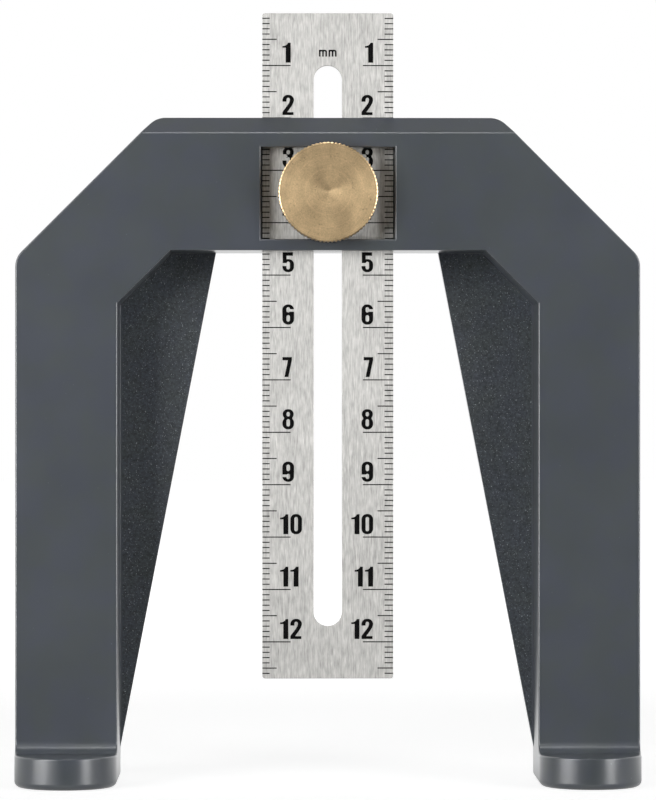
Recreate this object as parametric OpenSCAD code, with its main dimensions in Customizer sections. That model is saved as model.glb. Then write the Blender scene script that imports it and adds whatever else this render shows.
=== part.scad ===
// Setup gauge for router bits and saw blades.
// A moulded arch stands on two magnetic feet. A slotted rule slides in the crossbar, behind a window,
// and a brass thumb screw through its slot holds it. The rule counts from its top end and is as long
// as the arch is high, so the line at the top of the crossbar is the height of the rule's tip.
// X runs across the legs, Y from the front face to the back, Z up from the faces of the feet.

/* [Frame] */
// Width across the two legs
frame_w = 118.8; // [108:0.2:140]
// Height from the foot faces to the top of the crossbar
frame_h = 127; // [110:1:160]
// Depth from the front face to the back
frame_d = 17; // [16:0.5:26]
// Width of each leg
leg_w = 19.4; // [18:0.2:24]
// Height of the crossbar
bar_h = 25.4; // [24:0.2:34]
// Size of the sloping outer shoulders, along each side
shoulder = 26.8; // [12:0.2:34]
// Radius of the outline's corners at both ends of a shoulder
shoulder_r = 4; // [1:0.5:6]
// Size of the sloping inner corners of the opening
inner_corner = 10; // [2:0.5:14]
// Thickness of the moulded walls
wall = 3; // [2:0.2:4]
// Thickness of the stiffening ribs in the hollow back
rib_t = 1.8; // [1.2:0.2:3]
// How far the ribs lie inside the back plane
rib_inset = 1; // [0.2:0.2:3]
// Number of ribs across each leg
leg_ribs = 4; // [1:1:6]
// Number of ribs across each half of the crossbar
bar_ribs = 2; // [1:1:3]
// Height of the facet along the top front edge
facet_h = 3.0; // [1:0.2:4]
// Depth of the facet along the top front edge
facet_d = 3.2; // [1:0.2:3.4]

/* [Gusset webs] */
// Thickness of the webs at the back plane
web_t = 2.6; // [1.6:0.2:4]
// Width of the opening between the webs under the crossbar
web_gap = 43; // [32:1:60]

/* [Feet] */
// Thickness of the foot plates
foot_t = 6; // [5.2:0.1:9]
// How far the centre of the round front lies ahead of the leg's front face
foot_lead = 2.5; // [1:0.25:8]
// Rounding of the lower edge of the feet
foot_round = 1.2; // [0.5:0.1:2]
// Radius of the cove between the leg and the top of the foot, at most the lead of the round front
cove_r = 2.5; // [1:0.25:4]
// Outside radius of the steel cup round a magnet
cup_r = 7.5; // [6:0.25:8]
// Height of the cup
cup_h = 4; // [3:0.25:4.5]
// Thickness of the cup's wall and floor
cup_wall = 0.9; // [0.6:0.1:1.5]
// Radius of the magnet
magnet_r = 6; // [3:0.25:6.4]
// How far the cup's rim stays inside the face of the foot
cup_recess = 0.2; // [0.1:0.1:0.5]

/* [Rule] */
// Width of the rule
rule_w = 25; // [20:0.5:30]
// Thickness of the rule
rule_t = 1; // [0.5:0.1:1.6]
// Depth of the rule's front face behind the front of the crossbar
rule_setback = 3.6; // [3.5:0.1:5]
// Radius of the rule's corners
rule_corner = 0.5; // [0.2:0.1:2]
// Width of the slot
slot_w = 5.4; // [5.3:0.1:8]
// Distance from each end of the rule to the slot
slot_margin = 10; // [6:0.5:11]
// Height of the rule's tip above the feet as drawn
tip_height = 20; // [0:1:60]
// Play between the rule's faces and its channel
rule_play = 0.15; // [0.12:0.01:0.3]
// Play between the rule's edges and its channel
side_play = 0.15; // [0.1:0.05:0.4]

/* [Window] */
// Width of the window over the rule
window_w = 25.5; // [20:0.5:26]
// Height of the window
window_h = 17.5; // [13:0.5:17.5]
// Distance from the top of the crossbar down to the thumb screw
screw_drop = 14.5; // [14:0.1:15]

/* [Markings] */
// Thickness of the filled markings
mark_t = 0.05; // [0.02:0.01:0.08]
// Thickness of a scale line
line_t = 0.2; // [0.1:0.02:0.3]
// Lengths of the one, five and ten millimetre lines on the left edge
left_lines = [1.4, 2.75, 5.4];
// Lengths of the one, five and ten millimetre lines on the right edge
right_lines = [1.65, 3, 5.8];
// Lengths of the sixteenth, eighth, quarter, half and whole inch lines on the back face
inch_lines = [1.4, 2, 2.75, 4, 5.6];
// Height of the numbers
digit_h = 3.85; // [2.5:0.05:5]
// Distance from the rule's edges to the numbers
digit_inset = 3.85; // [3.2:0.05:5]
// Gap between a number and its line
digit_rise = 0.45; // [0.2:0.05:1]
// How far two-figure numbers start further out than the others
wide_shift = 0.45; // [0:0.05:0.8]
// Height of the small unit mark
unit_h = 1.3; // [0.8:0.1:2]
// Height of the unit mark above the slot
unit_rise = 1.7; // [0.5:0.1:4]

/* [Thumb screw] */
// Radius over the knurl
knob_r = 9.5; // [8:0.25:12]
// Thickness of the knurled head
knob_t = 4.5; // [3:0.25:8]
// Number of teeth in the knurl
knurl_n = 76; // [40:2:90]
// Depth of the knurl
knurl_depth = 0.3; // [0.15:0.05:0.5]
// Step from the foot of the knurl down to the bevels of the head
knurl_step = 0.05; // [0.02:0.01:0.2]
// Bevel of the head's edges
knob_bevel = 0.45; // [0.2:0.05:0.8]
// Gap between the head and the front of the crossbar
knob_gap = 0.4; // [0.3:0.1:1]
// Radius of the collar that presses on the washer
collar_r = 4.5; // [3.5:0.25:6]
// Radius of the threaded shank
shank_r = 2.44; // [2:0.02:2.6]
// Chamfer at the shank's tip
tip_chamfer = 0.6; // [0.2:0.1:1]
// How far the shank's tip stays inside the insert
tip_inset = 0.5; // [0:0.1:2]

/* [Clamp washer and insert] */
// Radius of the clamp washer
washer_r = 6; // [4.5:0.25:7]
// Thickness of the clamp washer
washer_t = 0.8; // [0.5:0.1:1.4]
// Outside radius of the threaded insert
insert_r = 3.5; // [3.2:0.1:4.5]
// Length of the threaded insert
insert_len = 8; // [5:0.5:9]
// How far the insert sits behind the wall of the rule's channel
insert_inset = 0.3; // [0.1:0.1:1]
// Wall of the boss round the insert
boss_wall = 2.5; // [1.5:0.25:4]

/* [Hidden] */
$fn = 64;

// Overrun of a cutting tool past the face it cuts
over = 1;
// Radial clearance of a hole round the running shank
shank_fit = 0.06;
// Gap that the washer keeps from the markings, and the collar from the washer
press_gap = 0.1;
seat_gap = 0.05;
// Glue gap between a foot's recess, the cup and the magnet
glue = 0.05;
// Pitch of the numbers on the front and the back face
centimetre = 10;
inch = 25.4;

opening_w = frame_w - 2 * leg_w;
leg_x = (opening_w + leg_w) / 2;
bar_z = frame_h - bar_h;
screw_z = frame_h - screw_drop;

// The origin is midway between the front of the feet and the back of the frame
foot_r = leg_w / 2;
front_y = (foot_lead + foot_r - frame_d) / 2;
back_y = front_y + frame_d;
foot_y = front_y - foot_lead;

// The rule is as long as the frame is high, so it reads nothing when its tip is level with the feet
rule_len = frame_h;
rule_y = front_y + rule_setback;
rule_top = tip_height + rule_len;
channel_w = rule_w + 2 * side_play;
channel_y = rule_y - rule_play;
channel_d = rule_t + 2 * rule_play;
channel_back = channel_y + channel_d;
block_w = channel_w + 2 * wall;

washer_back = rule_y - mark_t - press_gap;
washer_front = washer_back - washer_t;
collar_end = washer_front - seat_gap;
knob_back = front_y - knob_gap;
insert_y = channel_back + insert_inset;
boss_end = insert_y + insert_len;
boss_r = insert_r + boss_wall;
shank_end = boss_end - tip_inset;

core_floor = foot_t + wall;
cove = min(cove_r, foot_lead);
line_count = floor(rule_len) - 1;
sixteenths = floor((rule_len - line_t) / inch * 16);

// Sizes of the numerals at the height that they are drawn at, which number() scales
glyph_h = 3.85;
stem = 0.77;
bowl_w = 2.2;
bowl_r = 1.02;
counter_w = bowl_w - 2 * stem;
glyph_gap = 0.4;
// Sizes of the unit mark's letter at a height of one
letter_leg = 0.22;
letter_gap = 0.25;
letter_w = 3 * letter_leg + 2 * letter_gap;

function unit(v) = v / norm(v);

// An outline is a list of [x, z, radius] corners. side() is the direction from corner i to its
// neighbour, half_angle() is half of the angle inside the corner
function side(c, i, step) = let (n = len(c), j = (i + step + n) % n)
    unit([c[j][0] - c[i][0], c[j][1] - c[i][1]]);
function half_angle(c, i) = acos(side(c, i, -1) * side(c, i, 1)) / 2;
function corner(c, i) = [c[i][0], c[i][1]];
function rounding_centre(c, i) =
    corner(c, i) + unit(side(c, i, -1) + side(c, i, 1)) * c[i][2] / sin(half_angle(c, i));

// Outline whose convex corners have true round ends
module rounded_outline(c) {
    polygon([
        for (i = [0 : len(c) - 1], step = [-1, 1])
            corner(c, i) + side(c, i, step) * c[i][2] / tan(half_angle(c, i))
    ]);
    for (i = [0 : len(c) - 1])
        if (c[i][2] > 0) translate(rounding_centre(c, i)) circle(c[i][2]);
}

// Slab of a front-view outline from y0 backwards through t
module y_slab(y0, t) {
    translate([0, y0 + t, 0]) rotate([90, 0, 0]) linear_extrude(t) children();
}

// Slab of a side-view outline, centred on X
module x_slab(w) {
    translate([-w / 2, 0, 0]) rotate([90, 0, 90]) linear_extrude(w) children();
}

// Cylinder along Y from y0 to y1, on the thumb screw's axis
module on_screw_axis(y0, y1, r) {
    y_slab(y0, y1 - y0) translate([0, screw_z]) circle(r);
}

module block(x, z) {
    translate([x[0], z[0]]) square([x[1] - x[0], z[1] - z[0]]);
}

// Stadium or rounded rectangle between two corners
module lozenge(x, z, r) {
    rounded_outline([[x[0], z[0], r], [x[1], z[0], r], [x[1], z[1], r], [x[0], z[1], r]]);
}

// Outer outline of the arch, drawn in by a margin
module arch_outline(margin, r) {
    half = frame_w / 2 - margin;
    top = frame_h - margin;
    slope = frame_w / 2 + frame_h - shoulder - margin * sqrt(2);
    rounded_outline([
        [-half, 0, 0], [half, 0, 0], [half, slope - half, r], [slope - top, top, r],
        [top - slope, top, r], [-half, slope - half, r]
    ]);
}

// Opening between the legs, widened by a margin
module opening_outline(margin) {
    half = opening_w / 2 + margin;
    top = bar_z + margin;
    slope = opening_w / 2 + bar_z - inner_corner + margin * sqrt(2);
    polygon([
        [-half, -over], [half, -over], [half, slope - half], [slope - top, top],
        [top - slope, top], [-half, slope - half]
    ]);
}

// Free opening that the webs leave at the back
module web_opening() {
    polygon([
        [-opening_w / 2, -over], [opening_w / 2, -over], [opening_w / 2, foot_t],
        [web_gap / 2, bar_z], [-web_gap / 2, bar_z], [-opening_w / 2, foot_t]
    ]);
}

// Ribs across the hollow legs, shoulders and crossbar
module rib_lines() {
    core_top = frame_h - shoulder;
    for (side = [-1, 1], i = [1 : leg_ribs]) {
        z = core_floor + (core_top - core_floor) * i / (leg_ribs + 1);
        translate([side * leg_x, z]) square([leg_w, rib_t], center = true);
    }
    shoulder_x = (frame_w - shoulder) / 2;
    shoulder_z = frame_h - shoulder / 2;
    for (side = [-1, 1])
        translate([side * shoulder_x, shoulder_z]) rotate(side * 45)
            translate([-leg_w * 1.5, -rib_t / 2]) square([leg_w * 3, rib_t]);
    bar_end = frame_w / 2 - shoulder;
    for (side = [-1, 1], i = [1 : bar_ribs]) {
        x = block_w / 2 + (bar_end - block_w / 2) * i / bar_ribs;
        translate([side * x, frame_h - bar_h / 2]) square([rib_t, bar_h], center = true);
    }
}

// Hollow of the moulding, open at the back
module cores() {
    difference() {
        arch_outline(wall, 0);
        opening_outline(wall);
        block([-frame_w, frame_w], [-over, core_floor]);
        block([-block_w / 2, block_w / 2], [bar_z - over, frame_h + over]);
    }
}

// Hollow behind the rule's channel
module rear_hollow() {
    block([-channel_w / 2, channel_w / 2], [bar_z + wall, frame_h - wall]);
}

// Boss of the insert and the ribs that carry it
module boss_lines() {
    translate([0, screw_z]) {
        circle(boss_r);
        square([rib_t, 2 * bar_h], center = true);
        square([2 * block_w, rib_t], center = true);
    }
}

module foot() {
    // Round front half
    translate([0, foot_y, 0]) rotate([0, 0, 180]) rotate_extrude(angle = 180) foot_section(0);
    // Straight part back to the frame's back face
    y_slab(foot_y, back_y - foot_y) foot_section(-foot_r);
    // Cove in front of the leg
    x_slab(leg_w) difference() {
        translate([front_y - cove, foot_t]) square(cove);
        translate([front_y - cove, foot_t + cove]) circle(cove);
    }
}

// Cross-section of a foot from x0 to its outer side, with a rounded lower edge
module foot_section(x0) {
    difference() {
        union() {
            block([x0, foot_r - foot_round], [0, foot_t]);
            block([x0, foot_r], [foot_round, foot_t]);
            translate([foot_r - foot_round, foot_round]) circle(foot_round);
        }
        if (x0 < 0) difference() {
            block([-foot_r - over, -foot_r + foot_round], [-over, foot_round]);
            translate([-foot_r + foot_round, foot_round]) circle(foot_round);
        }
    }
}

module frame() {
    color("#545861") difference() {
        union() {
            y_slab(front_y, frame_d) difference() {
                arch_outline(0, shoulder_r);
                opening_outline(0);
                block([-frame_w, frame_w], [-over, foot_round]);
            }
            y_slab(back_y - web_t, web_t) difference() {
                arch_outline(0, shoulder_r);
                web_opening();
                block([-frame_w, frame_w], [-over, foot_round]);
            }
            for (side = [-1, 1]) translate([side * leg_x, 0, 0]) foot();
        }
        // Facet along the top front edge
        slope = facet_h / facet_d;
        x_slab(frame_w + 2 * over) polygon([
            [front_y - over, frame_h - facet_h - slope * over],
            [front_y + facet_d + over, frame_h + slope * over],
            [front_y - over, frame_h + slope * over]
        ]);
        // Hollows of the moulding, past ribs that end inside the back plane
        y_slab(front_y + wall, frame_d) difference() {
            cores();
            rib_lines();
        }
        y_slab(channel_back + wall, frame_d) difference() {
            rear_hollow();
            boss_lines();
        }
        y_slab(back_y - rib_inset, rib_inset + over) {
            cores();
            rear_hollow();
        }
        on_screw_axis(boss_end, back_y + over, boss_r);
        // Channel of the rule, window over it and bore of the insert
        y_slab(channel_y, channel_d)
            block([-channel_w / 2, channel_w / 2], [bar_z - over, frame_h + over]);
        y_slab(front_y - over, over + rule_setback)
            translate([0, screw_z]) square([window_w, window_h], center = true);
        on_screw_axis(channel_back - over, back_y + over, insert_r);
        // Recesses of the magnet cups
        for (side = [-1, 1]) translate([side * leg_x, foot_y, -over])
            cylinder(h = over + cup_recess + cup_h + glue, r = cup_r + glue);
    }
}

module rule() {
    color("#d6d4d0") y_slab(rule_y, rule_t) difference() {
        lozenge([-rule_w / 2, rule_w / 2], [tip_height, rule_top], rule_corner);
        lozenge([-slot_w / 2, slot_w / 2], [tip_height + slot_margin, rule_top - slot_margin], slot_w / 2);
    }
}

// Numerals, each drawn from its left edge and the line it stands on
module counter(z) { lozenge([stem, bowl_w - stem], z, counter_w / 2); }

module digit_0() {
    difference() {
        lozenge([0, bowl_w], [0, glyph_h], bowl_r);
        counter([0.56, glyph_h - 0.56]);
    }
}

module digit_1() {
    polygon([
        [0.63, 0], [1.56, 0], [1.56, 3.8], [1.06, 3.8], [0.9, 3.5], [0.62, 3.28], [0.3, 3.18],
        [0, 3.16], [0, 2.84], [0.63, 2.84]
    ]);
}

module digit_2() {
    intersection() {
        difference() {
            lozenge([0, bowl_w], [1, glyph_h], bowl_r);
            counter([1.6, 3.29]);
        }
        block([0, bowl_w], [2.78, glyph_h]);
    }
    block([0, stem], [2.55, 2.8]);
    polygon([
        [0, 0], [2.1, 0], [2.1, 0.54], [0.9, 0.54], [1.6, 1.5], [2.04, 2.24], [bowl_w, 2.8],
        [bowl_w - stem, 2.8], [1.3, 2.35], [1, 1.9], [0.12, 0.75], [0, 0.5]
    ]);
}

module digit_8() {
    difference() {
        union() {
            lozenge([0, bowl_w], [0, 2.3], bowl_r);
            lozenge([0.06, bowl_w - 0.06], [1.95, glyph_h], 0.92);
            block([0.3, bowl_w - 0.3], [1.9, 2.3]);
        }
        counter([0.56, 1.95]);
        counter([2.48, 3.32]);
    }
}

module digit_3() {
    difference() {
        digit_8();
        block([-1, stem + 0.02], [1.32, 2.5]);
        block([-1, 0.95], [2, 2.24]);
    }
}

module digit_4() {
    difference() {
        polygon([
            [1.05, 0], [1.83, 0], [1.83, 0.8], [2.2, 0.8], [2.2, 1.4], [1.83, 1.4], [1.83, 3.8],
            [0.94, 3.8], [0, 1.45], [0, 0.8], [1.05, 0.8]
        ]);
        polygon([[0.56, 1.4], [1.05, 1.4], [1.05, 2.75]]);
    }
}

module digit_5() {
    difference() {
        union() {
            lozenge([0, bowl_w], [0, 2.5], bowl_r);
            block([0.06, stem], [1.75, 3.8]);
            block([0.06, 2], [3.14, 3.8]);
        }
        counter([0.54, 2.02]);
        block([-1, stem], [1.18, 1.75]);
    }
}

module digit_6() {
    difference() {
        lozenge([0, bowl_w], [0, glyph_h], bowl_r);
        counter([0.56, 1.8]);
        counter([2.32, 3.32]);
        block([bowl_w - stem - 0.02, bowl_w + 1], [2.46, 2.94]);
    }
}

module digit_7() {
    polygon([[0, 3.8], [1.8, 3.8], [1.8, 3.24], [1.13, 0], [0.38, 0], [1.06, 3.18], [0, 3.18]]);
}

module digit_9() {
    translate([bowl_w, glyph_h]) rotate(180) digit_6();
}

function digit_w(d) = d == 1 ? 1.56 : d == 7 ? 1.8 : bowl_w;

module glyph(d) {
    if (d == 0) digit_0();
    if (d == 1) digit_1();
    if (d == 2) digit_2();
    if (d == 3) digit_3();
    if (d == 4) digit_4();
    if (d == 5) digit_5();
    if (d == 6) digit_6();
    if (d == 7) digit_7();
    if (d == 8) digit_8();
    if (d == 9) digit_9();
}

function number_w(n) = n < 10 ? digit_w(n) : digit_w(floor(n / 10)) + glyph_gap + digit_w(n % 10);

// Number n from its left edge, at the height digit_h
module number(n) {
    scale(digit_h / glyph_h) {
        if (n < 10) glyph(n);
        else {
            glyph(floor(n / 10));
            translate([digit_w(floor(n / 10)) + glyph_gap, 0]) glyph(n % 10);
        }
    }
}

// Lower-case m of the unit mark, drawn one high
module unit_letter() {
    shoulder_z = 1 - letter_leg - letter_gap / 2;
    difference() {
        union() {
            block([0, letter_leg], [0, 1]);
            block([0, letter_w], [0, shoulder_z]);
            lozenge([0, letter_w], [shoulder_z / 2, 1], 0.3);
        }
        for (i = [0, 1]) translate([letter_leg + i * (letter_leg + letter_gap), 0]) {
            block([0, letter_gap], [-over, shoulder_z]);
            translate([letter_gap / 2, shoulder_z]) circle(letter_gap / 2);
        }
    }
}

// Length of millimetre line i
function metric_line(i, lines) =
    i % centimetre == 0 ? lines[2] : i % (centimetre / 2) == 0 ? lines[1] : lines[0];
// Length of the line at i sixteenths of an inch
function inch_line(i) =
    i % 16 == 0 ? inch_lines[4] : i % 8 == 0 ? inch_lines[3] : i % 4 == 0 ? inch_lines[2]
    : i % 2 == 0 ? inch_lines[1] : inch_lines[0];

// Line of a given length from an edge of the rule, at a distance below its top end
module edge_line(side, length, drop) {
    inner = rule_w / 2 - length;
    z = rule_top - drop;
    block(side < 0 ? [-rule_w / 2, -inner] : [inner, rule_w / 2], [z - line_t / 2, z + line_t / 2]);
}

// Two columns of numbers, each above its line
module number_columns(count, pitch) {
    grow = digit_h / glyph_h;
    for (n = [1 : count]) {
        z = rule_top - n * pitch + line_t / 2 + digit_rise;
        shift = n < 10 ? 0 : wide_shift;
        translate([-rule_w / 2 + digit_inset - shift, z]) number(n);
        translate([rule_w / 2 - digit_inset - number_w(n) * grow, z]) number(n);
    }
}

module front_scale_lines() {
    color("#16161a") y_slab(rule_y - mark_t, mark_t)
        for (i = [1 : line_count]) {
            edge_line(-1, metric_line(i, left_lines), i);
            edge_line(1, metric_line(i, right_lines), i);
        }
}

module front_scale_numbers() {
    color("#16161a") y_slab(rule_y - mark_t, mark_t) {
        number_columns(floor(line_count / centimetre), centimetre);
        for (x = [-letter_w - letter_gap / 2, letter_gap / 2])
            translate([x * unit_h, rule_top - slot_margin + unit_rise]) scale(unit_h) unit_letter();
    }
}

// The back face is read from behind, so it is drawn there by half a turn
module on_back_face() {
    rotate([0, 0, 180]) y_slab(-rule_y - rule_t - mark_t, mark_t) children();
}

module back_scale_lines() {
    color("#16161a") on_back_face()
        for (i = [1 : sixteenths], side = [-1, 1]) edge_line(side, inch_line(i), i * inch / 16);
}

module back_scale_numbers() {
    color("#16161a") on_back_face() number_columns(floor(sixteenths / 16), inch);
}

// Outline of the knurled head, with pointed teeth
module knurl_outline() {
    polygon([
        for (i = [0 : 2 * knurl_n - 1])
            (i % 2 == 0 ? knob_r : knob_r - knurl_depth) * [cos(180 * i / knurl_n), sin(180 * i / knurl_n)]
    ]);
}

module thumb_screw() {
    core_r = knob_r - knurl_depth - knurl_step;
    color("#c9a978") translate([0, 0, screw_z]) rotate([-90, 0, 0]) {
        translate([0, 0, knob_back - knob_t]) {
            translate([0, 0, knob_bevel]) linear_extrude(knob_t - 2 * knob_bevel) knurl_outline();
            rotate_extrude() polygon([
                [0, 0], [core_r - knob_bevel, 0], [core_r, knob_bevel], [core_r, knob_t - knob_bevel],
                [core_r - knob_bevel, knob_t], [0, knob_t]
            ]);
        }
        translate([0, 0, knob_back]) cylinder(h = collar_end - knob_back, r = collar_r);
        translate([0, 0, collar_end]) cylinder(h = shank_end - tip_chamfer - collar_end, r = shank_r);
        translate([0, 0, shank_end - tip_chamfer])
            cylinder(h = tip_chamfer, r1 = shank_r, r2 = shank_r - tip_chamfer);
    }
}

module clamp_washer() {
    color("#b9bcc0") difference() {
        on_screw_axis(washer_front, washer_back, washer_r);
        on_screw_axis(washer_front - over, washer_back + over, shank_r + shank_fit);
    }
}

module threaded_insert() {
    color("#b8923f") difference() {
        on_screw_axis(insert_y, boss_end, insert_r);
        on_screw_axis(insert_y - over, boss_end + over, shank_r + shank_fit);
    }
}

module magnet_cup() {
    color("#a9adb2") translate([0, foot_y, cup_recess]) difference() {
        cylinder(h = cup_h, r = cup_r);
        translate([0, 0, -over]) cylinder(h = over + cup_h - cup_wall, r = cup_r - cup_wall);
    }
}

module magnet() {
    color("#8f9296") translate([0, foot_y, cup_recess]) cylinder(h = cup_h - cup_wall - glue, r = magnet_r);
}

frame();
rule();
front_scale_lines();
front_scale_numbers();
back_scale_lines();
back_scale_numbers();
thumb_screw();
clamp_washer();
threaded_insert();
translate([-leg_x, 0, 0]) magnet_cup();  // left_magnet_cup
translate([leg_x, 0, 0]) magnet_cup();  // right_magnet_cup
translate([-leg_x, 0, 0]) magnet();  // left_magnet
translate([leg_x, 0, 0]) magnet();  // right_magnet
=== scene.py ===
"""Looks of a setup gauge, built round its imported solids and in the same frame.

A moulded arch on two magnetic feet holds a slotted steel rule in its crossbar, and a knurled brass
thumb screw locks it. X runs across the legs, Y from the front face to the back and Z up. Lengths
are in metres and angles in degrees.
"""

import logging
import math
from collections.abc import Callable, Iterator
from contextlib import contextmanager
from dataclasses import dataclass, field
from enum import Enum

import bmesh
import bpy
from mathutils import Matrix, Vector


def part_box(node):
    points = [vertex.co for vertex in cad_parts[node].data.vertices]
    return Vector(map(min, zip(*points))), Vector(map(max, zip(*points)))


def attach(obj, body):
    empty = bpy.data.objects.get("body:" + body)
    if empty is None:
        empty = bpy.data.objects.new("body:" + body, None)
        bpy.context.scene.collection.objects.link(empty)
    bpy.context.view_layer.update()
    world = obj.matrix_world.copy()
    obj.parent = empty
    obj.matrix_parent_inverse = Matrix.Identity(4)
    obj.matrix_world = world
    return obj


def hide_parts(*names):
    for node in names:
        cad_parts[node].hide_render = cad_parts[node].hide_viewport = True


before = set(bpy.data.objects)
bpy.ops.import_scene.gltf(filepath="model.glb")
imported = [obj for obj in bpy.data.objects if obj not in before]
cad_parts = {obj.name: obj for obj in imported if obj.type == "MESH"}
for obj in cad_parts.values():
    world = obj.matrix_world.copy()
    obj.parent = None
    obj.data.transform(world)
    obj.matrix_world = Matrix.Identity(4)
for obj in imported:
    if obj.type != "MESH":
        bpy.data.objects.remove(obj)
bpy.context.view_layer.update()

LOG = logging.getLogger("setup_gauge")
Range = tuple[float, float]
Triple = tuple[float, float, float]
Colour = tuple[float, float, float, float]
WHITE: Colour = (1.0, 1.0, 1.0, 1.0)
# The middle level of a noise
MIDDLE = 0.5


class Body(Enum):
    """The rigid bodies that a piece can ride on."""

    STAND = "stand"
    RULE = "sliding_rule"
    CLAMP = "clamp"
    SCREW = "screw"


class Lens(Enum):
    """The kinds of ray for which a surface or the world can differ."""

    CAMERA = "Is Camera Ray"
    GLOSSY = "Is Glossy Ray"
    TRANSMISSION = "Is Transmission Ray"


# Shader maths


class Value:
    """One output socket of a material, on which arithmetic builds Math nodes."""

    def __init__(self, shader: "Shader", socket: bpy.types.NodeSocket) -> None:
        """Wraps a socket.

        Args:
            shader: the material that the socket belongs to.
            socket: the output socket.
        """
        self.shader = shader
        self.socket = socket

    def out(self, name: str) -> "Value":
        """Another output of the same node, by name."""
        return Value(self.shader, self.socket.node.outputs[name])

    def math(self, operation: str, *others: "Value | float") -> "Value":
        """A Math node with this value first.

        Args:
            operation: the Math node's operation.
            others: its second and third values.

        Returns:
            The node's output.
        """
        return self.shader.math(operation, self, *others)

    def __add__(self, other: "Value | float") -> "Value":
        """Sum."""
        return self.math("ADD", other)

    __radd__ = __add__

    def __sub__(self, other: "Value | float") -> "Value":
        """Difference."""
        return self.math("SUBTRACT", other)

    def __rsub__(self, other: "Value | float") -> "Value":
        """Difference, with this value taken away."""
        return self.shader.math("SUBTRACT", other, self)

    def __mul__(self, other: "Value | float") -> "Value":
        """Product."""
        return self.math("MULTIPLY", other)

    __rmul__ = __mul__

    def __truediv__(self, other: "Value | float") -> "Value":
        """Quotient."""
        return self.math("DIVIDE", other)


@dataclass(frozen=True)
class Grain:
    """A noise pattern of a finish.

    Args:
        scale: grains per metre, or per unit of what it is read at.
        detail: octaves.
        rough: weight of the finer octaves.
        rise: the levels of the noise between which the pattern goes from 0 to 1, if it has them.
        weight: how much it adds to the shade of the finish.
        stretch: grains per metre along each axis, for a pattern that is longer one way.
    """

    scale: float = 1.0
    detail: float = 2.0
    rough: float = 0.5
    rise: Range | None = None
    weight: float = 0.0
    stretch: Triple | None = None


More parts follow.
